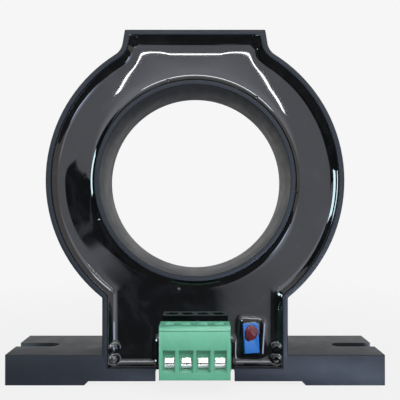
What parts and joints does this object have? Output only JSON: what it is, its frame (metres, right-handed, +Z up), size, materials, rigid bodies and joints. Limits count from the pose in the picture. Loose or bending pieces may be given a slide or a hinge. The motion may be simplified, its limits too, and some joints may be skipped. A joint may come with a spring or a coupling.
{
  "type": "dc leakage current sensor",
  "caption": "Ring-shaped DC leakage current sensor: potted black housing on slotted feet, with a plug-in screw terminal and a sealed trimmer.",
  "frame": {"origin": "on the bore's axis at the middle of the housing's depth", "axes": "-Y is the open, potted front with the terminal, +Z is up from the feet, +X is right seen from the front"},
  "size_m": [0.1186, 0.0405, 0.1112],
  "materials": {
    "housing_abs": "moulded black ABS, fine spark texture",
    "potting_epoxy": "black epoxy, poured and cured to a mirror",
    "green_polyamide": "moulded, satin",
    "tin_plate": "tin plated",
    "zinc_steel": "zinc plated",
    "blue_thermoplastic": "moulded, satin",
    "brass": "machined",
    "red_lacquer": "brushed-on locking lacquer",
    "board_laminate": "green solder mask on glass epoxy",
    "copper_wire": "enamelled copper",
    "core_alloy": "tape-wound soft magnetic alloy",
    "chip_plastic": "moulded black epoxy",
    "capacitor_can": "drawn can",
    "resistor_ceramic": "fired ceramic chip"
  },
  "bodies": {
    "sensor": {"housing": "housing_abs", "potting": "potting_epoxy", "circuit_board": "board_laminate", "terminal_header": "green_polyamide", "trimmer_body": "blue_thermoplastic", "trimmer_screw": "brass", "trimmer_seal": "red_lacquer", "trimmer_leads": "tin_plate", "shield_can": "core_alloy", "shield_lid": "core_alloy", "feedback_winding": "copper_wire", "front_drive_winding": "copper_wire", "back_drive_winding": "copper_wire", "front_core": "core_alloy", "back_core": "core_alloy", "amplifier_chip": "chip_plastic", "driver_chip": "chip_plastic", "regulator": "chip_plastic", "capacitor_1": "capacitor_can", "capacitor_2": "capacitor_can", "resistors": "resistor_ceramic", "header_pin_1": "tin_plate", "header_pin_2": "tin_plate", "header_pin_3": "tin_plate", "header_pin_4": "tin_plate"},
    "plug": {"plug_body": "green_polyamide", "contact_1": "tin_plate", "contact_2": "tin_plate", "contact_3": "tin_plate", "contact_4": "tin_plate"},
    "clamp_screw_1": {"clamp_screw_1": "zinc_steel"},
    "clamp_1": {"clamp_1": "zinc_steel"},
    "clamp_screw_2": {"clamp_screw_2": "zinc_steel"},
    "clamp_2": {"clamp_2": "zinc_steel"},
    "clamp_screw_3": {"clamp_screw_3": "zinc_steel"},
    "clamp_3": {"clamp_3": "zinc_steel"},
    "clamp_screw_4": {"clamp_screw_4": "zinc_steel"},
    "clamp_4": {"clamp_4": "zinc_steel"}
  },
  "joints": [
    {"name": "plug_pull", "type": "slide", "parent": "sensor", "child": "plug", "axis": [0, -1, 0], "range_m": [0, 0.009]},
    {"name": "clamp_screw_1_turn", "type": "hinge", "parent": "plug", "child": "clamp_screw_1", "pos_m": [-0.00762, -0.0206, -0.049], "axis": [0, 0, 1], "range_deg": [0, 1761]},
    {"name": "clamp_1_slide", "type": "slide", "parent": "plug", "child": "clamp_1", "axis": [0, 0, -1], "range_m": [0, 0.0022]},
    {"name": "clamp_screw_2_turn", "type": "hinge", "parent": "plug", "child": "clamp_screw_2", "pos_m": [-0.00254, -0.0206, -0.049], "axis": [0, 0, 1], "range_deg": [0, 1761]},
    {"name": "clamp_2_slide", "type": "slide", "parent": "plug", "child": "clamp_2", "axis": [0, 0, -1], "range_m": [0, 0.0022]},
    {"name": "clamp_screw_3_turn", "type": "hinge", "parent": "plug", "child": "clamp_screw_3", "pos_m": [0.00254, -0.0206, -0.049], "axis": [0, 0, 1], "range_deg": [0, 1761]},
    {"name": "clamp_3_slide", "type": "slide", "parent": "plug", "child": "clamp_3", "axis": [0, 0, -1], "range_m": [0, 0.0022]},
    {"name": "clamp_screw_4_turn", "type": "hinge", "parent": "plug", "child": "clamp_screw_4", "pos_m": [0.00762, -0.0206, -0.049], "axis": [0, 0, 1], "range_deg": [0, 1761]},
    {"name": "clamp_4_slide", "type": "slide", "parent": "plug", "child": "clamp_4", "axis": [0, 0, -1], "range_m": [0, 0.0022]}
  ],
  "couplings": [
    {"joint": "clamp_screw_1_turn", "follows": "clamp_1_slide", "rad_per_m": 13963},
    {"joint": "clamp_screw_2_turn", "follows": "clamp_2_slide", "rad_per_m": 13963},
    {"joint": "clamp_screw_3_turn", "follows": "clamp_3_slide", "rad_per_m": 13963},
    {"joint": "clamp_screw_4_turn", "follows": "clamp_4_slide", "rad_per_m": 13963}
  ]
}
